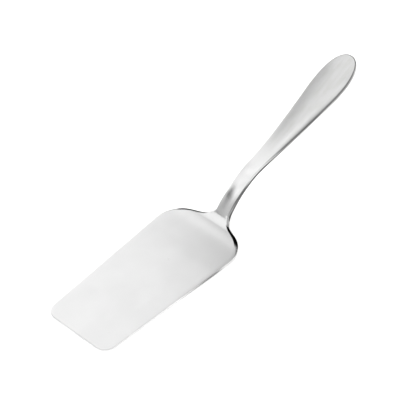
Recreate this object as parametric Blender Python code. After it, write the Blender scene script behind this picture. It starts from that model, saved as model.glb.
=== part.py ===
"""Cake lifter: a polished steel blade joined by a flush neck weld to a solid satin steel handle.

Metres, +Z up. The blade lies flat on Z = 0 with its tip towards -X, and the handle rises towards +X.
The origin is on the resting plane, under the middle of the whole length.

The shape is drawn the way the piece is made: a flat blank with a plan outline and a changing thickness,
and a side profile that the blank is bent to. A place on the blank is its run along the profile from the
tip, its offset to the side and its height over the underside.
"""

import math

import bmesh
import bpy
import numpy as np

MM = 0.001

# Plan outline of the flat blank
BLADE_LENGTH = 128.3 * MM  # tip to where the underside starts to turn up
TIP_WIDTH = 49.6 * MM
TIP_CORNER_RADIUS = 7.8 * MM
SHOULDER_WIDTH = 61.2 * MM  # where the sides would meet the rear edges without their rounding
SHOULDER_SETBACK = 11.2 * MM  # that meeting point, ahead of the heel
SHOULDER_RADIUS = 19.4 * MM
NECK_WIDTH = 9.8 * MM
NECK_SETBACK = 1.3 * MM  # where the rear edges would meet the neck, ahead of the heel
NECK_FILLET_RADIUS = 12.7 * MM
HANDLE_LENGTH = 138.6 * MM  # along the profile, heel to handle end
FLARE_RUN = 43.7 * MM  # heel to where the neck starts to widen
FLARE_RADIUS = 250.0 * MM
GRIP_WIDTH = 22.4 * MM
GRIP_WIDEST_RUN = 110.3 * MM  # heel to the grip's widest place
GRIP_WIDEST_RADIUS = 85.0 * MM
GRIP_END_ROUNDNESS = 2.22  # exponent of the end's superellipse: 2 is an ellipse

# Side profile of the underside
HEEL_RADIUS = 6.6 * MM
CRANK_ANGLE = math.radians(50.7)
CREST_RADIUS = 49.5 * MM
GRIP_START_ANGLE = math.radians(14.1)
GRIP_SWEEP_RADIUS = 655.0 * MM

# Thickness at the middle, and how far the faces are crowned
TIP_THICKNESS = 1.1 * MM
SHEET_THICKNESS = 1.8 * MM
TIP_TAPER_LENGTH = 90.0 * MM  # the sheet thins towards the tip over this length
THICKENING_SETBACK = 32.0 * MM  # where the sheet starts to thicken, ahead of the heel
NECK_THICKNESS = 3.5 * MM
CREST_THICKNESS = 3.8 * MM
WAIST_THICKNESS = 3.4 * MM
WAIST_RUN = 66.0 * MM  # heel to the thinnest place of the grip
GRIP_THICKNESS = 3.9 * MM
HANDLE_CROWN = 0.5 * MM
UNDERSIDE_CROWN = 0.2 * MM

# Rounding of the top edges, and of the lower edges
SHEET_EDGE = 0.35 * MM
SHOULDER_EDGE = 2.1 * MM
SHOULDER_EDGE_DROP = 1.5 * MM
SHOULDER_EDGE_SETBACK = 22.0 * MM  # where the edge rounding starts to grow, ahead of the heel
SHOULDER_EDGE_GROWTH = 11.0 * MM  # over this length it grows to its full size
HANDLE_EDGE = 0.6 * MM
LOWER_SHEET_EDGE = 0.25 * MM
LOWER_HANDLE_EDGE = 0.5 * MM

# Neck weld: a double V, wide at the faces and narrow at its root
WELD_FACE_WIDTH = 2.2 * MM
WELD_ROOT_WIDTH = 0.6 * MM
WELD_MARGIN = 0.4 * MM  # straight neck left on each side of the weld

# Finish of the steel
BLADE_SHADE = 0.78
BLADE_ROUGHNESS = 0.12
WELD_SHADE = 0.70
WELD_ROUGHNESS = 0.25
HANDLE_SHADE = 0.72
HANDLE_ROUGHNESS = 0.32
STEEL_BLUE_SHARE = 0.985  # the steel is a touch warm
SHARPEST_SMOOTHED = math.radians(35)

# Fineness of the facets
ARC_STEPS = 9
FACE_SPANS = 5  # from the middle line to the edge rounding
EDGE_SPANS = 4
WIDEST_ROUNDING_SHARE = 0.3  # the edge rounding takes at most this share of a section's half width
SHEET_STEPS = 5
SHOULDER_STEPS = 6
REAR_STEPS = 12
HEEL_STEPS = 8
CREST_STEPS = 12
GRIP_STEPS = 18
END_STEPS = 10
END_CAP_HALF_WIDTH = 0.8 * MM
CLOSEST_SECTIONS = 0.04 * MM
SLOPE_STEP = 0.05 * MM  # the outline's slope is read over this length

# Places along the profile, as runs from the tip
SHOULDER_EDGE_START = BLADE_LENGTH - SHOULDER_EDGE_SETBACK
SHOULDER_EDGE_FULL = SHOULDER_EDGE_START + SHOULDER_EDGE_GROWTH
NECK_FOOT = BLADE_LENGTH - NECK_SETBACK
HEEL_START = BLADE_LENGTH
RAMP_START = HEEL_START + HEEL_RADIUS * CRANK_ANGLE
RAMP_LENGTH = WELD_FACE_WIDTH + 2 * WELD_MARGIN
CREST_START = RAMP_START + RAMP_LENGTH
GRIP_START = CREST_START + CREST_RADIUS * (CRANK_ANGLE - GRIP_START_ANGLE)
WAIST_START = HEEL_START + WAIST_RUN
WIDEST_START = HEEL_START + GRIP_WIDEST_RUN
TOTAL_RUN = HEEL_START + HANDLE_LENGTH
WELD_RUN = RAMP_START + RAMP_LENGTH / 2


def smooth_step(value, start, end):
    """0 before start, 1 after end, with a smooth rise between."""
    share = np.clip((value - start) / (end - start), 0.0, 1.0)
    return share * share * (3 - 2 * share)


def rounded_chain(corners):
    """Points along straight lines through corners (run, offset, radius), with each corner rounded."""
    points = [np.array(corners[0][:2])]
    for before, corner, after in zip(corners, corners[1:], corners[2:]):
        here = np.array(corner[:2])
        inward = np.array(before[:2]) - here
        onward = np.array(after[:2]) - here
        inward /= np.linalg.norm(inward)
        onward /= np.linalg.norm(onward)
        half_angle = math.acos(np.clip(inward @ onward, -1, 1)) / 2
        radius = corner[2]
        middle = inward + onward
        middle /= np.linalg.norm(middle)
        centre = here + middle * radius / math.sin(half_angle)
        first = here + inward * radius / math.tan(half_angle) - centre
        last = here + onward * radius / math.tan(half_angle) - centre
        turn = math.pi - 2 * half_angle
        for step in range(ARC_STEPS + 1):
            share = step / ARC_STEPS
            weight_first = math.sin((1 - share) * turn) / math.sin(turn)
            weight_last = math.sin(share * turn) / math.sin(turn)
            points.append(centre + first * weight_first + last * weight_last)
    return points


def plan_outline():
    """Half of the blank's outline, from the tip's middle to the handle's end, as (run, offset) points."""
    corners = [
        (0.0, 0.0, 0.0),
        (0.0, TIP_WIDTH / 2, TIP_CORNER_RADIUS),
        (HEEL_START - SHOULDER_SETBACK, SHOULDER_WIDTH / 2, SHOULDER_RADIUS),
        (NECK_FOOT, NECK_WIDTH / 2, NECK_FILLET_RADIUS),
        (HEEL_START + FLARE_RUN, NECK_WIDTH / 2, FLARE_RADIUS),
        (WIDEST_START, GRIP_WIDTH / 2, GRIP_WIDEST_RADIUS),
        (TOTAL_RUN, GRIP_WIDTH / 2, 0.0),
    ]
    points = rounded_chain(corners)
    widest = points[-1][0]
    end_length = TOTAL_RUN - widest
    for step in range(1, END_STEPS + 1):
        across = math.cos(step / END_STEPS * math.pi / 2)
        half_width = max(GRIP_WIDTH / 2 * across, END_CAP_HALF_WIDTH)
        share = (2 * half_width / GRIP_WIDTH) ** GRIP_END_ROUNDNESS
        run = widest + end_length * (1 - share) ** (1 / GRIP_END_ROUNDNESS)
        points.append(np.array([run, half_width]))
    return np.array(points)


OUTLINE = plan_outline()


def half_width_at(run):
    """Half of the blank's width. The outline's first point is the tip's middle, which has no width."""
    return float(np.interp(run, OUTLINE[1:, 0], OUTLINE[1:, 1]))


def edge_distance(run, offset):
    """Distance from a place on the blank to its outline."""
    point = np.array([run, abs(offset)])
    closed = np.vstack([OUTLINE, [TOTAL_RUN, 0.0]])
    start = closed[:-1]
    side = closed[1:] - start
    share = np.clip(((point - start) * side).sum(1) / (side**2).sum(1), 0, 1)
    nearest = start + side * share[:, None]
    return float(np.sqrt(((point - nearest) ** 2).sum(1)).min())


def on_profile(run):
    """Position (x, z) of the underside's middle line, and its slope angle."""
    if run <= HEEL_START:
        return run, 0.0, 0.0
    angle = min((run - HEEL_START) / HEEL_RADIUS, CRANK_ANGLE)
    x = HEEL_START + HEEL_RADIUS * math.sin(angle)
    z = HEEL_RADIUS * (1 - math.cos(angle))
    if run > RAMP_START:
        along = min(run - RAMP_START, RAMP_LENGTH)
        x += along * math.cos(CRANK_ANGLE)
        z += along * math.sin(CRANK_ANGLE)
    if run > CREST_START:
        angle = max(CRANK_ANGLE - (run - CREST_START) / CREST_RADIUS, GRIP_START_ANGLE)
        x += CREST_RADIUS * (math.sin(CRANK_ANGLE) - math.sin(angle))
        z += CREST_RADIUS * (math.cos(angle) - math.cos(CRANK_ANGLE))
    if run > GRIP_START:
        angle = GRIP_START_ANGLE + (run - GRIP_START) / GRIP_SWEEP_RADIUS
        x += GRIP_SWEEP_RADIUS * (math.sin(angle) - math.sin(GRIP_START_ANGLE))
        z += GRIP_SWEEP_RADIUS * (math.cos(GRIP_START_ANGLE) - math.cos(angle))
    return x, z, angle


def bent(run, offset, height):
    """A place on the blank, moved to where bending takes it."""
    x, z, angle = on_profile(run)
    return (x - height * math.sin(angle), offset, z + height * math.cos(angle))


def edge_drop(distance, width, depth):
    """How far a rounded edge lies under its face, this far in from the outline."""
    share = 1 - min(distance / width, 1.0)
    return depth * (1 - math.sqrt(1 - share * share))


def edge_sizes(run):
    """Width and depth of the top edge's rounding, and the size of the lower one."""
    shoulder = smooth_step(run, SHOULDER_EDGE_START, SHOULDER_EDGE_FULL)
    neck = smooth_step(run, NECK_FOOT, RAMP_START)
    width = SHEET_EDGE + (SHOULDER_EDGE - SHEET_EDGE) * shoulder + (HANDLE_EDGE - SHOULDER_EDGE) * neck
    depth = SHEET_EDGE + (SHOULDER_EDGE_DROP - SHEET_EDGE) * shoulder
    depth += (HANDLE_EDGE - SHOULDER_EDGE_DROP) * neck
    lower = LOWER_SHEET_EDGE + (LOWER_HANDLE_EDGE - LOWER_SHEET_EDGE) * neck
    return width, depth, lower


def thickness_at(run):
    """Thickness at the middle line: thin at the tip, thick from the neck on, slightly less at the waist."""
    thickness = TIP_THICKNESS + (SHEET_THICKNESS - TIP_THICKNESS) * min(run / TIP_TAPER_LENGTH, 1.0)
    changes = [
        (HEEL_START - THICKENING_SETBACK, RAMP_START, NECK_THICKNESS - SHEET_THICKNESS),
        (CREST_START, GRIP_START, CREST_THICKNESS - NECK_THICKNESS),
        (GRIP_START, WAIST_START, WAIST_THICKNESS - CREST_THICKNESS),
        (WAIST_START, WIDEST_START, GRIP_THICKNESS - WAIST_THICKNESS),
    ]
    for start, end, change in changes:
        thickness += change * smooth_step(run, start, end)
    return thickness


def heights(run, offset):
    """Heights of the lower and the upper skin over the flat underside."""
    crowning = smooth_step(run, NECK_FOOT, RAMP_START) * (offset / half_width_at(run)) ** 2
    distance = edge_distance(run, offset)
    width, depth, lower_size = edge_sizes(run)
    lower = UNDERSIDE_CROWN * crowning + edge_drop(distance, lower_size, lower_size)
    upper = thickness_at(run) - HANDLE_CROWN * crowning - edge_drop(distance, width, depth)
    return lower, upper


def rounding_shares():
    """How far out across an edge rounding its points are, so that its facets turn by equal angles."""
    return [math.sin(span / EDGE_SPANS * math.pi / 2) for span in range(1, EDGE_SPANS + 1)]


def offsets_at(run):
    """Offsets of a section's points, from side to side, closer together over the edge rounding."""
    half_width = half_width_at(run)
    slope = (half_width_at(run + SLOPE_STEP) - half_width_at(run - SLOPE_STEP)) / (2 * SLOPE_STEP)
    rounding = min(edge_sizes(run)[0] * math.hypot(1, slope), WIDEST_ROUNDING_SHARE * half_width)
    inner = half_width - rounding
    side = [inner * span / FACE_SPANS for span in range(1, FACE_SPANS + 1)]
    side += [inner + rounding * share for share in rounding_shares()]
    return [-offset for offset in reversed(side)] + [0.0] + side


def section(run):
    """Points of the lower and the upper skin across the blank at one run."""
    lower_points = []
    upper_points = []
    for offset in offsets_at(run):
        lower, upper = heights(run, offset)
        lower_points.append(bent(run, offset, lower))
        upper_points.append(bent(run, offset, upper))
    return lower_points, upper_points


def weld_section(side):
    """Lower, root and upper points where the weld meets the blade (side -1) or the handle (side +1)."""
    spread = (WELD_FACE_WIDTH - WELD_ROOT_WIDTH) / NECK_THICKNESS
    root_run = WELD_RUN + side * WELD_ROOT_WIDTH / 2
    root_height = NECK_THICKNESS / 2
    rows = ([], [], [])
    for offset in offsets_at(WELD_RUN):
        lower, upper = heights(WELD_RUN, offset)
        for row, height in zip(rows, (lower, root_height, upper)):
            run = root_run + side * spread * abs(height - root_height)
            row.append(bent(run, offset, height))
    return rows


def add_strip(mesh, first, second):
    """A row of faces between two rows of vertices."""
    for index in range(len(first) - 1):
        mesh.faces.new((first[index], first[index + 1], second[index + 1], second[index]))


def add_end(mesh, low, high, root):
    """Closes one end of a body, flat or with a wedge along its root row."""
    if root:
        add_strip(mesh, high, root)
        add_strip(mesh, root, low)
    else:
        add_strip(mesh, high, low)


def add_wall(mesh, edge, rows, start_root, end_root):
    """Closes one side of a body between its skins. Edge 0 is the first point of each row, and -1 the last."""
    last = len(rows) - 2
    for index, ((low, high), (next_low, next_high)) in enumerate(zip(rows, rows[1:])):
        start = [start_root[edge]] if start_root and index == 0 else []
        end = [end_root[edge]] if end_root and index == last else []
        mesh.faces.new([low[edge], *start, high[edge], next_high[edge], *end, next_low[edge]])


def lofted_mesh(name, sections, start_root=(), end_root=()):
    """A closed body through sections of two skins. An end with a root row is a wedge."""
    mesh = bmesh.new()
    rows = []
    for low, high in sections:
        rows.append(([mesh.verts.new(point) for point in low], [mesh.verts.new(point) for point in high]))
    start_root = [mesh.verts.new(point) for point in start_root]
    end_root = [mesh.verts.new(point) for point in end_root]
    for (low, high), (next_low, next_high) in zip(rows, rows[1:]):
        add_strip(mesh, high, next_high)
        add_strip(mesh, next_low, low)
    add_end(mesh, *rows[0], start_root)
    add_end(mesh, *rows[-1], end_root)
    for edge in (0, -1):
        add_wall(mesh, edge, rows, start_root, end_root)
    bmesh.ops.recalc_face_normals(mesh, faces=mesh.faces)
    data = bpy.data.meshes.new(name)
    mesh.to_mesh(data)
    mesh.free()
    return data


def merged_runs(*stretches):
    """Runs of the sections, in order, without any that nearly repeat."""
    kept = []
    for run in sorted(run for stretch in stretches for run in stretch):
        if not kept or run - kept[-1] > CLOSEST_SECTIONS:
            kept.append(run)
    return kept


def blade_runs():
    """Sections of the blade: the tip's rounding, the sheet, the rear shoulders and the heel's bend."""
    tip = [SHEET_EDGE] + [SHEET_EDGE * (1 - share) for share in rounding_shares()]
    outline = [run for run in OUTLINE[1:, 0] if SHEET_EDGE < run < RAMP_START]
    sheet = np.linspace(TIP_CORNER_RADIUS, SHOULDER_EDGE_START, SHEET_STEPS + 1)
    shoulder = np.linspace(SHOULDER_EDGE_START, SHOULDER_EDGE_FULL, SHOULDER_STEPS + 1)
    rear = np.linspace(SHOULDER_EDGE_FULL, NECK_FOOT, REAR_STEPS + 1)
    heel = np.linspace(HEEL_START, RAMP_START, HEEL_STEPS + 1)
    return merged_runs(tip, outline, sheet, shoulder, rear, heel)


def handle_runs():
    """Sections of the handle: crest, grip and rounded end."""
    crest = np.linspace(CREST_START, GRIP_START, CREST_STEPS + 1)
    grip = np.linspace(GRIP_START, WIDEST_START, GRIP_STEPS + 1)
    end = OUTLINE[-END_STEPS:, 0]
    return merged_runs(crest, grip, end)


def mesh_points(data):
    """A mesh's points as an array."""
    points = np.empty(len(data.vertices) * 3)
    data.vertices.foreach_get("co", points)
    return points.reshape(-1, 3)


def steel(name, shade, roughness):
    """A stainless steel finish."""
    material = bpy.data.materials.new(name)
    material.use_nodes = True
    shader = material.node_tree.nodes["Principled BSDF"]
    shader.inputs["Base Color"].default_value = (shade, shade, shade * STEEL_BLUE_SHARE, 1.0)
    shader.inputs["Metallic"].default_value = 1.0
    shader.inputs["Roughness"].default_value = roughness
    return material


def place(data, material, origin, parent):
    """Makes the object of a mesh, with its own origin, smooth where its faces run on into each other."""
    data.vertices.foreach_set("co", (mesh_points(data) - np.array(origin)).ravel())
    data.materials.append(material)
    data.shade_smooth()
    data.set_sharp_from_angle(angle=SHARPEST_SMOOTHED)
    data.update()
    piece = bpy.data.objects.new(data.name, data)
    piece.location = origin
    piece.parent = parent
    bpy.context.scene.collection.objects.link(piece)


def make_blade():
    """The sheet, from its tip to the wedge that the weld holds."""
    lower, root, upper = weld_section(-1)
    sections = [section(run) for run in blade_runs()]
    return lofted_mesh("blade", sections + [(lower, upper)], end_root=root)


def make_handle():
    """The bar, from its wedge at the weld to the round end."""
    lower, root, upper = weld_section(1)
    sections = [section(run) for run in handle_runs()]
    return lofted_mesh("handle", [(lower, upper)] + sections, start_root=root)


def make_weld():
    """The weld metal between the two wedges."""
    lower_front, root_front, upper_front = weld_section(-1)
    lower_back, root_back, upper_back = weld_section(1)
    sections = [(lower_front, upper_front), (lower_back, upper_back)]
    return lofted_mesh("neck_weld", sections, start_root=root_front, end_root=root_back)


def build():
    """Clears the scene and makes the three pieces under one empty."""
    for old in list(bpy.data.objects):
        bpy.data.objects.remove(old, do_unlink=True)
    blade = make_blade()
    weld = make_weld()
    handle = make_handle()
    lifter = bpy.data.objects.new("cake_lifter", None)
    lifter.location = (-mesh_points(handle)[:, 0].max() / 2, 0.0, 0.0)
    bpy.context.scene.collection.objects.link(lifter)
    weld_point = bent(WELD_RUN, 0.0, NECK_THICKNESS / 2)
    place(blade, steel("polished_steel", BLADE_SHADE, BLADE_ROUGHNESS), (HEEL_START, 0.0, 0.0), lifter)
    place(weld, steel("weld_steel", WELD_SHADE, WELD_ROUGHNESS), weld_point, lifter)
    place(handle, steel("satin_steel", HANDLE_SHADE, HANDLE_ROUGHNESS), weld_point, lifter)


build()
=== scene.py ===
"""Looks of the cake lifter.

The three CAD pieces are drawn again from the same formulas, with finer facets and a few shallow forms that
show in the steel's reflections. Steel finishes, a pale floor, soft studio light and the camera at the
photograph's viewing angle complete the scene.
"""

import math

import bmesh
import bpy
import numpy as np
from mathutils import Matrix, Vector


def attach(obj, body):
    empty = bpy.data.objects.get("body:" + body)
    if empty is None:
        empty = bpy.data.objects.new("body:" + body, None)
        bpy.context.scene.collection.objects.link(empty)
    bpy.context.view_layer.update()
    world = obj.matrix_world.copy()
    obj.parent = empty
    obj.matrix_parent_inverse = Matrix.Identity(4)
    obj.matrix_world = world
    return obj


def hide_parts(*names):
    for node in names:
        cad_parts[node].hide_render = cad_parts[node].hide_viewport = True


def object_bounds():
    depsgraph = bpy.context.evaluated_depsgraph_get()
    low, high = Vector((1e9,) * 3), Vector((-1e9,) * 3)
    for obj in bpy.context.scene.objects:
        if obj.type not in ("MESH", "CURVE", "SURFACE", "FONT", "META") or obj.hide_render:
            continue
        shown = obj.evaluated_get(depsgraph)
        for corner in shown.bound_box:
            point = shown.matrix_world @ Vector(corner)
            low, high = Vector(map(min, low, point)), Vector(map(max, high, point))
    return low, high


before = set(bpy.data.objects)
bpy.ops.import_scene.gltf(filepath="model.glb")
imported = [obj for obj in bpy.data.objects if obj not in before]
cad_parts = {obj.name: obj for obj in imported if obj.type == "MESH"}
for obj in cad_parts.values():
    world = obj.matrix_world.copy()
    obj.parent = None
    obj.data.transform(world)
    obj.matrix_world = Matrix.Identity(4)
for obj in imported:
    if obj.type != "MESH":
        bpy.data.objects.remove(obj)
cad_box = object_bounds()

MM = 0.001

# Plan outline of the flat blank, as in the CAD
BLADE_LENGTH = 128.3 * MM
TIP_WIDTH = 49.6 * MM
TIP_CORNER_RADIUS = 7.8 * MM
SHOULDER_WIDTH = 61.2 * MM
SHOULDER_SETBACK = 11.2 * MM
SHOULDER_RADIUS = 19.4 * MM
NECK_WIDTH = 9.8 * MM
NECK_SETBACK = 1.3 * MM
NECK_FILLET_RADIUS = 12.7 * MM
HANDLE_LENGTH = 138.6 * MM
FLARE_RUN = 43.7 * MM
FLARE_RADIUS = 250.0 * MM
GRIP_WIDTH = 22.4 * MM
GRIP_WIDEST_RUN = 110.3 * MM
GRIP_WIDEST_RADIUS = 85.0 * MM
GRIP_END_ROUNDNESS = 2.22

# Side profile of the underside, as in the CAD
HEEL_RADIUS = 6.6 * MM
CRANK_ANGLE = math.radians(50.7)
CREST_RADIUS = 49.5 * MM
GRIP_START_ANGLE = math.radians(14.1)
GRIP_SWEEP_RADIUS = 655.0 * MM

# Thickness and edge roundings, as in the CAD
TIP_THICKNESS = 1.1 * MM
SHEET_THICKNESS = 1.8 * MM
TIP_TAPER_LENGTH = 90.0 * MM
NECK_THICKNESS = 3.5 * MM
CREST_THICKNESS = 3.8 * MM
WAIST_THICKNESS = 3.4 * MM
WAIST_RUN = 66.0 * MM
GRIP_THICKNESS = 3.9 * MM
UNDERSIDE_CROWN = 0.2 * MM
SHEET_EDGE = 0.35 * MM
SHOULDER_EDGE = 2.1 * MM
SHOULDER_EDGE_SETBACK = 22.0 * MM
SHOULDER_EDGE_GROWTH = 11.0 * MM
LOWER_SHEET_EDGE = 0.25 * MM
LOWER_HANDLE_EDGE = 0.5 * MM
WELD_FACE_WIDTH = 2.2 * MM
WELD_ROOT_WIDTH = 0.6 * MM
WELD_MARGIN = 0.4 * MM

# Top edge roundings as the photograph's reflections show them
SHOULDER_EDGE_DROP = 0.7 * MM
HANDLE_EDGE = 0.4 * MM
GRIP_EDGE = 0.75 * MM

# Crown of the handle's top: how much lower its edges are than its middle, by run from the tip
CROWNS = (
    (128.0 * MM, 0.36 * MM),
    (138.0 * MM, 0.52 * MM),
    (150.0 * MM, 0.48 * MM),
    (160.0 * MM, 0.18 * MM),
    (172.0 * MM, 0.25 * MM),
    (190.0 * MM, 0.75 * MM),
    (215.0 * MM, 0.97 * MM),
    (240.0 * MM, 0.83 * MM),
    (249.0 * MM, 0.68 * MM),
    (258.0 * MM, 0.22 * MM),
    (266.0 * MM, 0.05 * MM),
)

# The neck's thicker foot: where the sheet starts to grow, what is added, its fade, its fillet and its sides
GROWTH_START = 121.5 * MM
FOOT_EXTRA = 1.1 * MM
FOOT_FADE = 24.0 * MM
FOOT_FILLET_RADIUS = 7.0 * MM
FOOT_CORE = 4.9 * MM
FOOT_SKIRT = 10.5 * MM

# Slopes of the top face across the blade's rear, as runs from the tip and degrees
REAR_SLOPES = (
    (96.0 * MM, 0.0),
    (106.0 * MM, 0.3),
    (110.0 * MM, 0.7),
    (112.5 * MM, 1.4),
    (115.0 * MM, 2.5),
    (117.5 * MM, 2.5),
    (120.0 * MM, 1.5),
    (122.5 * MM, 0.4),
    (125.0 * MM, 0.0),
)
RELIEF_STEPS = 400

# Painted black shadow over the bevel at the back of the shoulders: runs from the tip, widths on either side,
# narrowing, soft border
BEVEL_START = 114.3 * MM
BEVEL_FULL = 117.6 * MM
BEVEL_FADE = 124.3 * MM
BEVEL_END = 125.6 * MM
BEVEL_WIDTHS = (2.3 * MM, 1.65 * MM)
BEVEL_TAPER = 0.7 * MM
BEVEL_SOFTNESS = 0.2 * MM
BEVEL_SIDE = 5.0 * MM

# Where the neck's polish turns into the grip's satin finish
SATIN_START = 165.0 * MM
SATIN_FULL = 205.0 * MM

# Finishes, as roughness and anisotropy
BLADE_POLISH = (0.246, 0.50)
NECK_POLISH = (0.204, 0.40)
GRIP_SATIN = (0.160, 0.19)

# Colours and tints of the steel
STEEL_COLOUR = (0.85, 0.85, 0.85, 1.0)
WORN_TINT = 0.97
SATIN_TINT = 0.753
MOTTLE_TINT = (0.965, 0.965, 0.95)
# Colour of the painted shade along the cut edge
EDGE_SHADE_COLOUR = (0.05, 0.05, 0.05, 1.0)
# Colour of the painted black shadow over the shoulders' bevel
SHOULDER_SHADOW_COLOUR = (0.004, 0.004, 0.004, 1.0)

# Noise fields over the flat blank, as cycles per metre along, across and through it
GRAIN_SCALE = (60.0, 5200.0, 5200.0)
STREAK_SCALE = (22.0, 1100.0, 1100.0)
SMUDGE_SCALE = (38.0, 46.0, 46.0)
MOTTLE_SCALE = (110.0, 260.0, 260.0)
SCRATCH_SCALE = (420.0, 1500.0, 1500.0)
NOISE_DETAIL = 3.0
SCRATCH_DETAIL = 1.0

# How those fields work: the spans of noise that count, shares, added roughness, and the grain's bump
SCRATCH_SPAN = (0.74, 0.80)
WORN_SPAN = (0.35, 0.7)
MOTTLE_SPAN = (0.42, 0.62)
MOTTLE_SHARE = 0.65
STREAK_SHARE = 0.35
STREAK_ROUGHNESS = 0.05
SMUDGE_ROUGHNESS = 0.03
SCRATCH_ROUGHNESS = 0.06
RIM_ROUGHNESS = 0.15
GRAIN_STRENGTH = 0.15
GRAIN_DEPTH = 0.02 * MM

# Painted shade on the cut edge, which also roughens it, by run from the tip: at its upper line, between the
# lines, at its lower line
EDGE_SHADES = (
    (0.0, 0.05, 0.05, 0.1),
    (60.0 * MM, 0.0, 0.0, 0.0),
    (72.0 * MM, 0.3, 0.3, 0.5),
    (84.0 * MM, 0.65, 0.6, 1.0),
    (92.0 * MM, 0.65, 0.6, 1.0),
    (99.0 * MM, 0.2, 0.1, 0.2),
    (124.0 * MM, 0.2, 0.1, 0.2),
    (131.0 * MM, 0.5, 0.95, 1.0),
    (138.0 * MM, 0.75, 0.7, 1.0),
    (145.0 * MM, 0.95, 0.85, 1.0),
    (153.0 * MM, 0.9, 0.95, 1.0),
    (160.0 * MM, 0.05, 0.9, 0.97),
    (169.0 * MM, 0.15, 0.85, 1.0),
    (178.0 * MM, 0.4, 0.7, 0.95),
    (188.0 * MM, 0.85, 0.45, 0.9),
    (198.0 * MM, 0.8, 0.35, 0.6),
    (207.0 * MM, 0.85, 0.3, 0.4),
    (217.0 * MM, 0.9, 0.35, 0.3),
    (226.0 * MM, 0.75, 0.45, 0.35),
    (245.0 * MM, 0.75, 0.5, 0.4),
    (253.0 * MM, 0.7, 0.6, 0.45),
    (262.0 * MM, 0.6, 0.5, 0.5),
    (266.0 * MM, 0.85, 0.5, 0.5),
)

# The painted edge shade's upper line on the far side, how far in over the rounding it is full and gone, and
# where its lines lie
FAR_EDGE_SHADE = 0.5
RIM_FULL = 0.3
RIM_NONE = 1.0
UPPER_LINE = (0.6, 1.0)
LOWER_LINE = (0.34, 0.52)

# Fineness of the facets here
ARC_STEPS = 28
FOOT_STEPS = 112
FACE_SPANS = 12
EDGE_SPANS = 6
WIDEST_ROUNDING_SHARE = 0.3
SECTION_SPACING = 1.2 * MM
CLOSEST_SECTIONS = 0.04 * MM
SLOPE_STEP = 0.05 * MM
END_STEPS = 24
END_CAP_HALF_WIDTH = 0.4 * MM
SHARPEST_SMOOTHED = math.radians(35)

# Places along the profile, as runs from the tip
SHOULDER_EDGE_START = BLADE_LENGTH - SHOULDER_EDGE_SETBACK
SHOULDER_EDGE_FULL = SHOULDER_EDGE_START + SHOULDER_EDGE_GROWTH
NECK_FOOT = BLADE_LENGTH - NECK_SETBACK
HEEL_START = BLADE_LENGTH
RAMP_START = HEEL_START + HEEL_RADIUS * CRANK_ANGLE
RAMP_LENGTH = WELD_FACE_WIDTH + 2 * WELD_MARGIN
CREST_START = RAMP_START + RAMP_LENGTH
GRIP_START = CREST_START + CREST_RADIUS * (CRANK_ANGLE - GRIP_START_ANGLE)
WAIST_START = HEEL_START + WAIST_RUN
WIDEST_START = HEEL_START + GRIP_WIDEST_RUN
TOTAL_RUN = HEEL_START + HANDLE_LENGTH
WELD_RUN = RAMP_START + RAMP_LENGTH / 2
ORIGIN_FROM_TIP = -cad_box[0][0]

# Camera, from the perspective fit to the outline
CAMERA_AZIMUTH = math.radians(42.27)
CAMERA_ELEVATION = math.radians(44.74)
CAMERA_DISTANCE = 1.26
TARGET_FROM_TIP = 131.55 * MM
TARGET_ASIDE = 19.92 * MM
TARGET_HEIGHT = 1.5 * MM
LENS_MM = 180.0
SENSOR_MM = 36.0
CLIP_START = 0.01

# Light: the dome's gradient by elevation, then its soft lobes as azimuth, elevation, width, strength
DOME_GRADIENT = (0.9, 37.2)
DOME_LOW = 0.412
DOME_HIGH = 1.199
DOME_FLOOR = 0.02
DOME_LOBES = (
    (144.2, 44.4, 6.0, -0.73),
    (147.0, 51.5, 13.4, 1.04),
    (190.3, 69.0, 14.8, 1.40),
    (184.5, 67.8, 41.1, -1.22),
    (79.1, 76.6, 7.0, 0.55),
    (140.9, 33.1, 11.4, -0.48),
    (13.7, 19.1, 34.3, -1.40),
    (90.3, 44.5, 13.5, -0.63),
    (127.8, 41.3, 6.0, -1.37),
    (99.9, 62.5, 6.0, 0.39),
    (-47.0, 35.0, 14.0, 0.60),
)

# One soft box: where it points, then azimuth, elevation, distance, width, height, roll, radiance, soft border
PANEL_AIM = Vector((0.0, 0.0, 0.02))
KEY_PANEL = (82.5, 22.6, 0.301, 1.118, 0.365, -89.5, 0.447, 0.200)

# Floor
FLOOR_REACH = 3.0
FLOOR_DROP = 0.05 * MM
FLOOR_COLOURS = ((0.86, 0.86, 0.86, 1.0), (0.89, 0.89, 0.885, 1.0))
FLOOR_MOTTLE_SCALE = (9.0, 9.0, 9.0)
FLOOR_ROUGHNESS = 0.8

# Fills for the floor alone, as azimuth, elevation, distance, disk size, energy
FILLS = (
    (0.0, 90.0, 3.3, 3.6, 45.0),
    (30.0, 32.0, 2.7, 2.4, 29.0),
    (120.0, 32.0, 2.7, 2.4, 29.0),
    (210.0, 32.0, 2.7, 2.4, 29.0),
    (300.0, 32.0, 2.7, 2.4, 29.0),
)


def smooth_step(value, start, end):
    """0 before start, 1 after end, with a smooth rise between."""
    share = np.clip((value - start) / (end - start), 0.0, 1.0)
    return share * share * (3 - 2 * share)


def rounded_chain(corners):
    """Points along straight lines through corners (run, offset, radius), with each corner rounded."""
    points = [np.array(corners[0][:2])]
    for before, corner, after in zip(corners, corners[1:], corners[2:]):
        here = np.array(corner[:2])
        inward = np.array(before[:2]) - here
        onward = np.array(after[:2]) - here
        inward /= np.linalg.norm(inward)
        onward /= np.linalg.norm(onward)
        half_angle = math.acos(np.clip(inward @ onward, -1, 1)) / 2
        radius = corner[2]
        middle = inward + onward
        middle /= np.linalg.norm(middle)
        centre = here + middle * radius / math.sin(half_angle)
        first = here + inward * radius / math.tan(half_angle) - centre
        last = here + onward * radius / math.tan(half_angle) - centre
        turn = math.pi - 2 * half_angle
        for step in range(ARC_STEPS + 1):
            share = step / ARC_STEPS
            weight_first = math.sin((1 - share) * turn) / math.sin(turn)
            weight_last = math.sin(share * turn) / math.sin(turn)
            points.append(centre + first * weight_first + last * weight_last)
    return points


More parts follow.
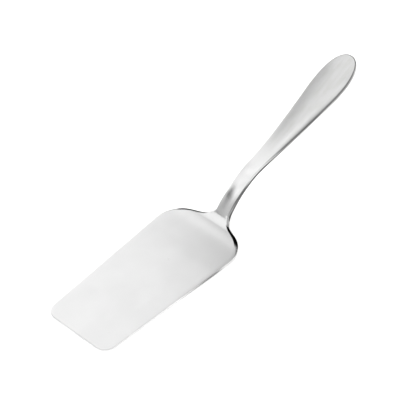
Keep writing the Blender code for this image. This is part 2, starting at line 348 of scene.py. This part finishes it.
def plan_outline():
    """Half of the blank's outline, from the tip's middle to the handle's end, as (run, offset) points."""
    corners = [
        (0.0, 0.0, 0.0),
        (0.0, TIP_WIDTH / 2, TIP_CORNER_RADIUS),
        (HEEL_START - SHOULDER_SETBACK, SHOULDER_WIDTH / 2, SHOULDER_RADIUS),
        (NECK_FOOT, NECK_WIDTH / 2, NECK_FILLET_RADIUS),
        (HEEL_START + FLARE_RUN, NECK_WIDTH / 2, FLARE_RADIUS),
        (WIDEST_START, GRIP_WIDTH / 2, GRIP_WIDEST_RADIUS),
        (TOTAL_RUN, GRIP_WIDTH / 2, 0.0),
    ]
    points = rounded_chain(corners)
    widest = points[-1][0]
    end_length = TOTAL_RUN - widest
    for step in range(1, END_STEPS + 1):
        across = math.cos(step / END_STEPS * math.pi / 2)
        half_width = max(GRIP_WIDTH / 2 * across, END_CAP_HALF_WIDTH)
        share = (2 * half_width / GRIP_WIDTH) ** GRIP_END_ROUNDNESS
        run = widest + end_length * (1 - share) ** (1 / GRIP_END_ROUNDNESS)
        points.append(np.array([run, half_width]))
    return np.array(points)


OUTLINE = plan_outline()


def half_width_at(run):
    """Half of the blank's width. The outline's first point is the tip's middle, which has no width."""
    return float(np.interp(run, OUTLINE[1:, 0], OUTLINE[1:, 1]))


def edge_distance(run, offset):
    """Distance from a place on the blank to its outline."""
    point = np.array([run, abs(offset)])
    closed = np.vstack([OUTLINE, [TOTAL_RUN, 0.0]])
    start = closed[:-1]
    side = closed[1:] - start
    share = np.clip(((point - start) * side).sum(1) / (side**2).sum(1), 0, 1)
    nearest = start + side * share[:, None]
    return float(np.sqrt(((point - nearest) ** 2).sum(1)).min())


def on_profile(run):
    """Position (x, z) of the underside's middle line, and its slope angle."""
    if run <= HEEL_START:
        return run, 0.0, 0.0
    angle = min((run - HEEL_START) / HEEL_RADIUS, CRANK_ANGLE)
    x = HEEL_START + HEEL_RADIUS * math.sin(angle)
    z = HEEL_RADIUS * (1 - math.cos(angle))
    if run > RAMP_START:
        along = min(run - RAMP_START, RAMP_LENGTH)
        x += along * math.cos(CRANK_ANGLE)
        z += along * math.sin(CRANK_ANGLE)
    if run > CREST_START:
        angle = max(CRANK_ANGLE - (run - CREST_START) / CREST_RADIUS, GRIP_START_ANGLE)
        x += CREST_RADIUS * (math.sin(CRANK_ANGLE) - math.sin(angle))
        z += CREST_RADIUS * (math.cos(angle) - math.cos(CRANK_ANGLE))
    if run > GRIP_START:
        angle = GRIP_START_ANGLE + (run - GRIP_START) / GRIP_SWEEP_RADIUS
        x += GRIP_SWEEP_RADIUS * (math.sin(angle) - math.sin(GRIP_START_ANGLE))
        z += GRIP_SWEEP_RADIUS * (math.cos(GRIP_START_ANGLE) - math.cos(angle))
    return x, z, angle


def bent(run, offset, height):
    """A place on the blank, moved to where bending takes it."""
    x, z, angle = on_profile(run)
    return (x - height * math.sin(angle), offset, z + height * math.cos(angle))


def edge_drop(distance, width, depth):
    """How far a rounded edge lies under its face, this far in from the outline."""
    share = 1 - min(distance / width, 1.0)
    return depth * (1 - math.sqrt(1 - share * share))


def edge_sizes(run):
    """Width and depth of the top edge's rounding, and the size of the lower one."""
    shoulder = smooth_step(run, SHOULDER_EDGE_START, SHOULDER_EDGE_FULL)
    neck = smooth_step(run, NECK_FOOT, RAMP_START)
    grip = (GRIP_EDGE - HANDLE_EDGE) * smooth_step(run, SATIN_START, SATIN_FULL)
    width = SHEET_EDGE + (SHOULDER_EDGE - SHEET_EDGE) * shoulder
    width += (HANDLE_EDGE - SHOULDER_EDGE) * neck + grip
    depth = SHEET_EDGE + (SHOULDER_EDGE_DROP - SHEET_EDGE) * shoulder
    depth += (HANDLE_EDGE - SHOULDER_EDGE_DROP) * neck + grip
    lower = LOWER_SHEET_EDGE + (LOWER_HANDLE_EDGE - LOWER_SHEET_EDGE) * neck
    return width, depth, lower


def relief_table():
    """Runs across the blade's rear, and how far the top face has risen there from its slopes in degrees."""
    places, degrees = zip(*REAR_SLOPES)
    runs = np.linspace(places[0], places[-1], RELIEF_STEPS)
    slopes = np.interp(runs, places, [math.tan(math.radians(slope)) for slope in degrees])
    middles = (slopes[1:] + slopes[:-1]) / 2
    return runs, np.concatenate([[0.0], np.cumsum(middles * np.diff(runs))])


RELIEF_RUNS, RELIEF_HEIGHTS = relief_table()


def thickness_at(run):
    """Thickness at the middle line: a thin sheet, a low rise across the rear, a thick neck and handle."""
    thickness = TIP_THICKNESS + (SHEET_THICKNESS - TIP_THICKNESS) * min(run / TIP_TAPER_LENGTH, 1.0)
    thickness += float(np.interp(run, RELIEF_RUNS, RELIEF_HEIGHTS))
    last_growth = NECK_THICKNESS - SHEET_THICKNESS - RELIEF_HEIGHTS[-1]
    changes = [
        (GROWTH_START, RAMP_START, last_growth),
        (CREST_START, GRIP_START, CREST_THICKNESS - NECK_THICKNESS),
        (GRIP_START, WAIST_START, WAIST_THICKNESS - CREST_THICKNESS),
        (WAIST_START, WIDEST_START, GRIP_THICKNESS - WAIST_THICKNESS),
    ]
    for start, end, change in changes:
        thickness += change * smooth_step(run, start, end)
    return thickness


def foot_table():
    """Runs near the neck's foot, and the height there of a top face with a wide hollow fillet."""
    ramp = np.array([math.cos(CRANK_ANGLE), math.sin(CRANK_ANGLE)])
    normal = np.array([-ramp[1], ramp[0]])
    x, z, _ = on_profile(RAMP_START)
    on_ramp = np.array([x, z]) + normal * (thickness_at(RAMP_START) + FOOT_EXTRA)
    plateau = thickness_at(HEEL_START - FOOT_FILLET_RADIUS / 2)
    corner = on_ramp - ramp * (on_ramp[1] - plateau) / ramp[1]
    tangent = FOOT_FILLET_RADIUS * math.tan(CRANK_ANGLE / 2)
    start = corner[0] - tangent
    curve = [np.array([start - FOOT_FILLET_RADIUS, plateau])]
    for angle in np.linspace(0.0, CRANK_ANGLE, ARC_STEPS):
        rise = FOOT_FILLET_RADIUS * (1 - math.cos(angle))
        curve.append(np.array([start + FOOT_FILLET_RADIUS * math.sin(angle), plateau + rise]))
    curve.append(curve[-1] + ramp * 2 * FOOT_FILLET_RADIUS)
    runs = np.linspace(start, RAMP_START + SLOPE_STEP, FOOT_STEPS)
    table = []
    for run in runs:
        x, z, angle = on_profile(run)
        along = np.array([math.cos(angle), math.sin(angle)])
        across = np.array([-along[1], along[0]])
        sides = [(point - (x, z)) @ along for point in curve]
        ups = [(point - (x, z)) @ across for point in curve]
        table.append(float(np.interp(0.0, sides, ups)))
    return runs, np.array(table)


FOOT_RUNS, FOOT_HEIGHTS = foot_table()


def foot_growth(run, offset):
    """What the neck's thicker foot and its hollow fillet add to the thickness."""
    if run <= FOOT_RUNS[0]:
        return 0.0
    if run <= RAMP_START:
        extra = max(float(np.interp(run, FOOT_RUNS, FOOT_HEIGHTS)) - thickness_at(run), 0.0)
    else:
        extra = FOOT_EXTRA * (1 - smooth_step(run, RAMP_START, RAMP_START + FOOT_FADE))
    return extra * (1 - smooth_step(abs(offset), FOOT_CORE, FOOT_SKIRT))


def crown_at(run):
    """How much lower the handle's top is at its edges than at its middle."""
    runs, crowns = zip(*CROWNS)
    return float(np.interp(run, runs, crowns))


def heights(run, offset):
    """Heights of the lower and the upper skin over the flat underside."""
    crowning = smooth_step(run, NECK_FOOT, RAMP_START) * (offset / half_width_at(run)) ** 2
    distance = edge_distance(run, offset)
    width, depth, lower_size = edge_sizes(run)
    lower = UNDERSIDE_CROWN * crowning + edge_drop(distance, lower_size, lower_size)
    upper = thickness_at(run) + foot_growth(run, offset)
    upper -= crown_at(run) * crowning + edge_drop(distance, width, depth)
    return lower, upper


def rounding_shares():
    """How far out across an edge rounding its points are, so that its facets turn by equal angles."""
    return [math.sin(span / EDGE_SPANS * math.pi / 2) for span in range(1, EDGE_SPANS + 1)]


def offsets_at(run):
    """Offsets of a section's points, from side to side, closer together over the edge rounding."""
    half_width = half_width_at(run)
    slope = (half_width_at(run + SLOPE_STEP) - half_width_at(run - SLOPE_STEP)) / (2 * SLOPE_STEP)
    rounding = min(edge_sizes(run)[0] * math.hypot(1, slope), WIDEST_ROUNDING_SHARE * half_width)
    inner = half_width - rounding
    side = [inner * span / FACE_SPANS for span in range(1, FACE_SPANS + 1)]
    side += [inner + rounding * share for share in rounding_shares()]
    return [-offset for offset in reversed(side)] + [0.0] + side


def section(run):
    """Places (run, offset, height) of the lower and the upper skin across the blank at one run."""
    lower_places = []
    upper_places = []
    for offset in offsets_at(run):
        lower, upper = heights(run, offset)
        lower_places.append((run, offset, lower))
        upper_places.append((run, offset, upper))
    return lower_places, upper_places


def weld_section(side):
    """Lower, root and upper places where the weld meets the blade (side -1) or the handle (side +1)."""
    neck_thickness = thickness_at(WELD_RUN) + foot_growth(WELD_RUN, 0.0)
    spread = (WELD_FACE_WIDTH - WELD_ROOT_WIDTH) / neck_thickness
    root_run = WELD_RUN + side * WELD_ROOT_WIDTH / 2
    root_height = neck_thickness / 2
    rows = ([], [], [])
    for offset in offsets_at(WELD_RUN):
        lower, upper = heights(WELD_RUN, offset)
        for row, height in zip(rows, (lower, root_height, upper)):
            run = root_run + side * spread * abs(height - root_height)
            row.append((run, offset, height))
    return rows


def edge_shade_shares(run, offset, height):
    """How much shade is painted on the cut edge's upper line, middle and lower line at a place, which also
    roughens them: 0 on the faces.
    """
    width, _, lower_width = edge_sizes(run)
    lower, upper = heights(run, offset)
    on_top = abs(height - upper) < abs(height - lower)
    inward = edge_distance(run, offset) / (width if on_top else lower_width)
    fade = 1 - smooth_step(inward, RIM_FULL, RIM_NONE)
    runs, *shades = zip(*EDGE_SHADES)
    shares = [float(np.interp(run, runs, shade) * fade) for shade in shades]
    if on_top and offset > 0:
        shares[0] *= FAR_EDGE_SHADE * float(smooth_step(run, SATIN_START, SATIN_FULL))
    return shares


class Body:
    """A closed body in the making, which remembers the place on the flat blank of each of its points."""

    def __init__(self):
        self.mesh = bmesh.new()
        self.places = []
        self.skins = []

    def row(self, places, skin):
        """Points of one row, on the lower skin (0), on the upper one (1) or between them."""
        self.places += places
        self.skins += [skin] * len(places)
        return [self.mesh.verts.new(bent(*place)) for place in places]

    def strip(self, first, second):
        """Faces between two rows."""
        for index in range(len(first) - 1):
            self.mesh.faces.new((first[index], first[index + 1], second[index + 1], second[index]))

    def end(self, low, high, root):
        """An end face, folded along its root row if it has one."""
        if root:
            self.strip(high, root)
            self.strip(root, low)
        else:
            self.strip(high, low)

    def wall(self, edge, rows, start_root, end_root):
        """The cut edge on one side, between the two skins."""
        last = len(rows) - 2
        for index, ((low, high), (next_low, next_high)) in enumerate(zip(rows, rows[1:])):
            start = [start_root[edge]] if start_root and index == 0 else []
            end = [end_root[edge]] if end_root and index == last else []
            self.mesh.faces.new([low[edge], *start, high[edge], next_high[edge], *end, next_low[edge]])


def add_attributes(data, body):
    """What the finishes read at each point: its place on the flat blank and its shares."""
    blank = data.attributes.new("blank", "FLOAT_VECTOR", "POINT")
    blank.data.foreach_set("vector", np.array(body.places).ravel())
    # Shares of painted shade along the cut edge
    edge_shade = data.attributes.new("edge_shade", "FLOAT_VECTOR", "POINT")
    edge_shade.data.foreach_set("vector", np.array([edge_shade_shares(*place) for place in body.places]).ravel())
    inward = [edge_distance(run, offset) for run, offset, _ in body.places]
    satin = [float(smooth_step(run, SATIN_START, SATIN_FULL)) for run, _, _ in body.places]
    for name, values in (("inward", inward), ("skin", body.skins), ("satin", satin)):
        data.attributes.new(name, "FLOAT", "POINT").data.foreach_set("value", values)


def loft(name, sections, start_root=(), end_root=()):
    """An object through sections of two skins. An end with a root row is a wedge."""
    body = Body()
    rows = [(body.row(low, 0.0), body.row(high, 1.0)) for low, high in sections]
    start_root = body.row(list(start_root), 0.5)
    end_root = body.row(list(end_root), 0.5)
    for (low, high), (next_low, next_high) in zip(rows, rows[1:]):
        body.strip(high, next_high)
        body.strip(next_low, low)
    body.end(*rows[0], start_root)
    body.end(*rows[-1], end_root)
    for edge in (0, -1):
        body.wall(edge, rows, start_root, end_root)
    bmesh.ops.recalc_face_normals(body.mesh, faces=body.mesh.faces)
    data = bpy.data.meshes.new(name)
    body.mesh.to_mesh(data)
    body.mesh.free()
    points = np.empty(len(data.vertices) * 3)
    data.vertices.foreach_get("co", points)
    points = points.reshape(-1, 3)
    points[:, 0] -= ORIGIN_FROM_TIP
    data.vertices.foreach_set("co", points.ravel())
    add_attributes(data, body)
    data.shade_smooth()
    data.set_sharp_from_angle(angle=SHARPEST_SMOOTHED)
    data.update()
    piece = bpy.data.objects.new(name, data)
    bpy.context.scene.collection.objects.link(piece)
    return piece


def merged_runs(*stretches):
    """Runs of the sections, in order, without any that nearly repeat."""
    kept = []
    for run in sorted(run for stretch in stretches for run in stretch):
        if not kept or run - kept[-1] > CLOSEST_SECTIONS:
            kept.append(run)
    return kept


def even_runs(start, end, spacing):
    """Evenly spaced runs from start to end."""
    return np.linspace(start, end, max(2, round((end - start) / spacing) + 1))


def blade_runs():
    """Sections of the blade: the tip's rounding, the sheet, the rear shoulders and the heel's bend."""
    tip = [SHEET_EDGE] + [SHEET_EDGE * (1 - share) for share in rounding_shares()]
    outline = [run for run in OUTLINE[1:, 0] if SHEET_EDGE < run < RAMP_START]
    sheet = even_runs(TIP_CORNER_RADIUS, SHOULDER_EDGE_START, 2 * SECTION_SPACING)
    rear = even_runs(SHOULDER_EDGE_START, HEEL_START, SECTION_SPACING / 2)
    heel = even_runs(HEEL_START, RAMP_START, SECTION_SPACING / 4)
    return merged_runs(tip, outline, sheet, rear, heel)


def handle_runs():
    """Sections of the handle: crest, grip and rounded end."""
    crest = even_runs(CREST_START, GRIP_START, SECTION_SPACING)
    grip = even_runs(GRIP_START, WIDEST_START, SECTION_SPACING)
    end = OUTLINE[-END_STEPS:, 0]
    return merged_runs(crest, grip, end)


def make_pieces():
    """The blade, weld and handle, each of which stands for the CAD node of its name."""
    low_front, root_front, high_front = weld_section(-1)
    low_back, root_back, high_back = weld_section(1)
    blade_sections = [section(run) for run in blade_runs()] + [(low_front, high_front)]
    handle_sections = [(low_back, high_back)] + [section(run) for run in handle_runs()]
    blade = loft("blade_sheet", blade_sections, end_root=root_front)
    weld = loft("weld_bead", [(low_front, high_front), (low_back, high_back)], root_front, root_back)
    handle = loft("handle_bar", handle_sections, start_root=root_back)
    for piece, node in ((blade, "blade"), (weld, "neck_weld"), (handle, "handle")):
        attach(piece, "root")
        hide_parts(node)
    return blade, weld, handle


class Nodes:
    """Short calls for building a node tree."""

    def __init__(self, tree):
        self.tree = tree

    def add(self, kind, **settings):
        """A new node with these settings."""
        node = self.tree.nodes.new(kind)
        for name, value in settings.items():
            setattr(node, name, value)
        return node

    def set(self, socket, value):
        """Link a socket to another, or give it a fixed value."""
        if isinstance(value, bpy.types.NodeSocket):
            self.tree.links.new(value, socket)
        else:
            socket.default_value = value

    def math(self, operation, first, second=0.0, third=0.0):
        """An operation on numbers."""
        node = self.add("ShaderNodeMath", operation=operation)
        for socket, value in zip(node.inputs, (first, second, third)):
            self.set(socket, value)
        return node.outputs[0]

    def vector(self, operation, first, second):
        """An operation on two vectors."""
        node = self.add("ShaderNodeVectorMath", operation=operation)
        self.set(node.inputs[0], first)
        self.set(node.inputs[1], second)
        return node.outputs["Value"] if operation == "DOT_PRODUCT" else node.outputs[0]

    def remap(self, value, low, high, out_low, out_high):
        """A smooth change from out_low to out_high while the value goes from low to high."""
        node = self.add("ShaderNodeMapRange", interpolation_type="SMOOTHSTEP")
        names = ("Value", "From Min", "From Max", "To Min", "To Max")
        for name, given in zip(names, (value, low, high, out_low, out_high)):
            self.set(node.inputs[name], given)
        return node.outputs["Result"]

    def noise(self, vector, scale, detail=NOISE_DETAIL):
        """Noise with its own scale on each axis."""
        node = self.add("ShaderNodeTexNoise")
        self.set(node.inputs["Vector"], self.vector("MULTIPLY", vector, scale))
        node.inputs["Scale"].default_value = 1.0
        node.inputs["Detail"].default_value = detail
        return node.outputs["Fac"]

    def blend(self, share, first, second):
        """A mix of two colours."""
        node = self.add("ShaderNodeMix", data_type="RGBA")
        self.set(node.inputs["Factor"], share)
        self.set(node.inputs["A"], first)
        self.set(node.inputs["B"], second)
        return node.outputs["Result"]


def mixed_edge_shade(tree, skin):
    """How much shade is painted on the cut edge, mixed over its height from the shares of its three lines."""
    lines = tree.add("ShaderNodeSeparateXYZ")
    tree.set(lines.inputs[0], tree.add("ShaderNodeAttribute", attribute_name="edge_shade").outputs["Vector"])
    edge_shade = tree.remap(skin, *LOWER_LINE, lines.outputs["Z"], lines.outputs["Y"])
    return tree.remap(skin, *UPPER_LINE, edge_shade, lines.outputs["X"])


def shoulder_shadow_share(tree, blank, inward):
    """1 where black shadow is painted over the bevel at the back of the shoulders, 0 elsewhere."""
    split = tree.add("ShaderNodeSeparateXYZ")
    tree.set(split.inputs[0], blank)
    run, offset = split.outputs["X"], split.outputs["Y"]
    width = tree.remap(offset, -BEVEL_SIDE, BEVEL_SIDE, *BEVEL_WIDTHS)
    width = tree.math("SUBTRACT", width, tree.remap(run, BEVEL_FULL, BEVEL_FADE, 0.0, BEVEL_TAPER))
    share = tree.remap(tree.math("SUBTRACT", inward, width), 0.0, BEVEL_SOFTNESS, 1.0, 0.0)
    share = tree.math("MULTIPLY", share, tree.remap(run, BEVEL_START, BEVEL_FULL, 0.0, 1.0))
    return tree.math("MULTIPLY", share, tree.remap(run, BEVEL_FADE, BEVEL_END, 1.0, 0.0))


def tinted(tint):
    """The steel's colour times a tint per channel."""
    return [channel * factor for channel, factor in zip(STEEL_COLOUR, tint)] + [1.0]


def steel(name, polish, satin_finish):
    """Stainless steel: lengthwise grain, faint smudges and scratches, a rougher cut edge with painted shade
    on it, and a painted black shadow over the shoulders' bevel.

    Along the handle its roughness and anisotropy go from those of the polish to those of the satin finish.
    """
    material = bpy.data.materials.new(name)
    material.use_nodes = True
    tree = Nodes(material.node_tree)
    shader = material.node_tree.nodes["Principled BSDF"]
    shader.inputs["Metallic"].default_value = 1.0
    blank = tree.add("ShaderNodeAttribute", attribute_name="blank").outputs["Vector"]
    inward = tree.add("ShaderNodeAttribute", attribute_name="inward").outputs["Fac"]
    satin = tree.add("ShaderNodeAttribute", attribute_name="satin").outputs["Fac"]
    skin = tree.add("ShaderNodeAttribute", attribute_name="skin").outputs["Fac"]
    # Painted shade along the cut edge, which also adds roughness
    edge_shade = mixed_edge_shade(tree, skin)
    # Painted black shadow over the bevel at the back of the shoulders
    bevel = shoulder_shadow_share(tree, blank, inward)
    grain = tree.noise(blank, GRAIN_SCALE)
    streaks = tree.noise(blank, STREAK_SCALE)
    smudges = tree.noise(blank, SMUDGE_SCALE)
    scratches = tree.remap(tree.noise(blank, SCRATCH_SCALE, SCRATCH_DETAIL), *SCRATCH_SPAN, 0.0, 1.0)
    mottle = tree.math("MULTIPLY", streaks, STREAK_SHARE)
    mottle = tree.math("MULTIPLY_ADD", tree.noise(blank, MOTTLE_SCALE), MOTTLE_SHARE, mottle)
    if polish == satin_finish:
        rough, shader.inputs["Anisotropic"].default_value = polish
    else:
        rough = tree.remap(satin, 0.0, 1.0, polish[0], satin_finish[0])
        tree.set(shader.inputs["Anisotropic"], tree.remap(satin, 0.0, 1.0, polish[1], satin_finish[1]))
    for texture, strength in ((streaks, STREAK_ROUGHNESS), (smudges, SMUDGE_ROUGHNESS)):
        rough = tree.math("ADD", rough, tree.math("MULTIPLY_ADD", texture, strength, -strength / 2))
    rough = tree.math("ADD", rough, tree.math("MULTIPLY", scratches, SCRATCH_ROUGHNESS))
    rough = tree.math("ADD", rough, tree.math("MULTIPLY", edge_shade, RIM_ROUGHNESS))
    tree.set(shader.inputs["Roughness"], rough)
    polished = tree.blend(tree.remap(smudges, *WORN_SPAN, 0.0, 1.0), STEEL_COLOUR, tinted([WORN_TINT] * 3))
    mottled = tinted([SATIN_TINT * warmth for warmth in MOTTLE_TINT])
    brushed = tree.blend(tree.remap(mottle, *MOTTLE_SPAN, 0.0, 1.0), tinted([SATIN_TINT] * 3), mottled)
    # The cut edge takes its painted shade, the shoulders' bevel its painted black shadow
    shade = tree.blend(edge_shade, tree.blend(satin, polished, brushed), EDGE_SHADE_COLOUR)
    tree.set(shader.inputs["Base Color"], tree.blend(bevel, shade, SHOULDER_SHADOW_COLOUR))
    bump = tree.add("ShaderNodeBump")
    bump.inputs["Strength"].default_value = GRAIN_STRENGTH
    bump.inputs["Distance"].default_value = GRAIN_DEPTH
    tree.set(bump.inputs["Height"], grain)
    tree.set(shader.inputs["Normal"], bump.outputs["Normal"])
    faces = tree.add("ShaderNodeNewGeometry").outputs["Normal"]
    tree.set(shader.inputs["Tangent"], tree.vector("CROSS_PRODUCT", (1.0, 0.0, 0.0), faces))
    return material


def direction(azimuth, elevation):
    """A unit vector from degrees, azimuth counted from +X towards +Y."""
    a = math.radians(azimuth)
    e = math.radians(elevation)
    return Vector((math.cos(e) * math.cos(a), math.cos(e) * math.sin(a), math.sin(e)))


def make_world():
    """A soft studio dome with a gradient from the horizon up. The camera sees it plain white."""
    world = bpy.data.worlds.new("studio")
    world.use_nodes = True
    bpy.context.scene.world = world
    tree = Nodes(world.node_tree)
    background = world.node_tree.nodes["Background"]
    background.inputs["Color"].default_value = (1.0, 1.0, 1.0, 1.0)
    split = tree.add("ShaderNodeSeparateXYZ")
    ray = tree.add("ShaderNodeTexCoord").outputs["Generated"]
    tree.set(split.inputs[0], ray)
    low, high = (math.sin(math.radians(elevation)) for elevation in DOME_GRADIENT)
    light = tree.remap(split.outputs["Z"], low, high, DOME_LOW, DOME_HIGH)
    for azimuth, elevation, width, strength in DOME_LOBES:
        facing = tree.vector("DOT_PRODUCT", ray, direction(azimuth, elevation))
        sharpness = 2 / math.radians(width) ** 2
        falloff = tree.math("EXPONENT", tree.math("MULTIPLY_ADD", facing, sharpness, -sharpness))
        light = tree.math("MULTIPLY_ADD", falloff, strength, light)
    light = tree.math("MAXIMUM", light, DOME_FLOOR)
    seen = tree.add("ShaderNodeLightPath").outputs["Is Camera Ray"]
    tree.set(background.inputs["Strength"], tree.math("MAXIMUM", light, seen))


def make_panel(name, azimuth, elevation, distance, width, height, roll, radiance, softness):
    """A soft box that faces the object, with light falling off towards its borders."""
    data = bpy.data.lights.new(name, "AREA")
    data.shape = "RECTANGLE"
    data.size = width
    data.size_y = height
    data.energy = radiance * math.pi * width * height
    data.use_nodes = True
    tree = Nodes(data.node_tree)
    split = tree.add("ShaderNodeSeparateXYZ")
    tree.set(split.inputs[0], tree.add("ShaderNodeNewGeometry").outputs["Parametric"])
    shares = []
    for axis in ("X", "Y"):
        across = tree.math("ABSOLUTE", tree.math("MULTIPLY_ADD", split.outputs[axis], 2.0, -1.0))
        shares.append(tree.remap(across, 1 - softness, 1.0, 1.0, 0.0))
    tree.set(data.node_tree.nodes["Emission"].inputs["Strength"], tree.math("MULTIPLY", *shares))
    panel = bpy.data.objects.new(name, data)
    toward = direction(azimuth, elevation)
    side = Vector((-toward.y, toward.x, 0.0)).normalized()
    up = toward.cross(side)
    turn = math.radians(roll)
    first = side * math.cos(turn) + up * math.sin(turn)
    second = up * math.cos(turn) - side * math.sin(turn)
    panel.matrix_world = Matrix((first, second, toward)).transposed().to_4x4()
    panel.location = PANEL_AIM + toward * distance
    panel.visible_camera = False
    bpy.context.scene.collection.objects.link(panel)


def make_floor():
    """A plain pale floor."""
    data = bpy.data.meshes.new("floor")
    signs = ((-1, -1), (1, -1), (1, 1), (-1, 1))
    data.from_pydata([(x * FLOOR_REACH, y * FLOOR_REACH, 0.0) for x, y in signs], [], [(0, 1, 2, 3)])
    floor = bpy.data.objects.new("floor", data)
    bpy.context.scene.collection.objects.link(floor)
    floor.location.z = -FLOOR_DROP
    material = bpy.data.materials.new("pale_floor")
    material.use_nodes = True
    tree = Nodes(material.node_tree)
    shader = material.node_tree.nodes["Principled BSDF"]
    place = tree.add("ShaderNodeTexCoord").outputs["Object"]
    tree.set(shader.inputs["Base Color"], tree.blend(tree.noise(place, FLOOR_MOTTLE_SCALE), *FLOOR_COLOURS))
    shader.inputs["Roughness"].default_value = FLOOR_ROUGHNESS
    data.materials.append(material)


def make_fills():
    """Wide soft lights for the floor, which the steel doesn't mirror."""
    for index, (azimuth, elevation, distance, size, energy) in enumerate(FILLS):
        name = f"floor_fill_{index}"
        data = bpy.data.lights.new(name, "AREA")
        data.shape = "DISK"
        data.size = size
        data.energy = energy
        light = bpy.data.objects.new(name, data)
        toward = direction(azimuth, elevation)
        light.location = toward * distance
        light.rotation_euler = toward.to_track_quat("Z", "Y").to_euler()
        light.visible_glossy = False
        light.visible_camera = False
        bpy.context.scene.collection.objects.link(light)


def make_camera():
    """The camera at the photograph's viewing angle."""
    level = math.cos(CAMERA_ELEVATION)
    across, along = math.sin(CAMERA_AZIMUTH), math.cos(CAMERA_AZIMUTH)
    toward = Vector((-level * along, -level * across, math.sin(CAMERA_ELEVATION)))
    target = Vector((cad_box[0][0] + TARGET_FROM_TIP, TARGET_ASIDE, TARGET_HEIGHT))
    data = bpy.data.cameras.new("camera")
    data.lens = LENS_MM
    data.sensor_width = SENSOR_MM
    data.clip_start = CLIP_START
    camera = bpy.data.objects.new("camera", data)
    camera.location = target + toward * CAMERA_DISTANCE
    camera.rotation_euler = toward.to_track_quat("Z", "Y").to_euler()
    bpy.context.scene.collection.objects.link(camera)
    bpy.context.scene.camera = camera


bpy.context.scene.view_settings.view_transform = "Standard"
blade, weld, handle = make_pieces()
blade.data.materials.append(steel("blade_steel", BLADE_POLISH, BLADE_POLISH))
weld.data.materials.append(steel("weld_steel", NECK_POLISH, NECK_POLISH))
handle.data.materials.append(steel("handle_steel", NECK_POLISH, GRIP_SATIN))
make_world()
make_floor()
make_fills()
make_panel("key_panel", *KEY_PANEL)
make_camera()
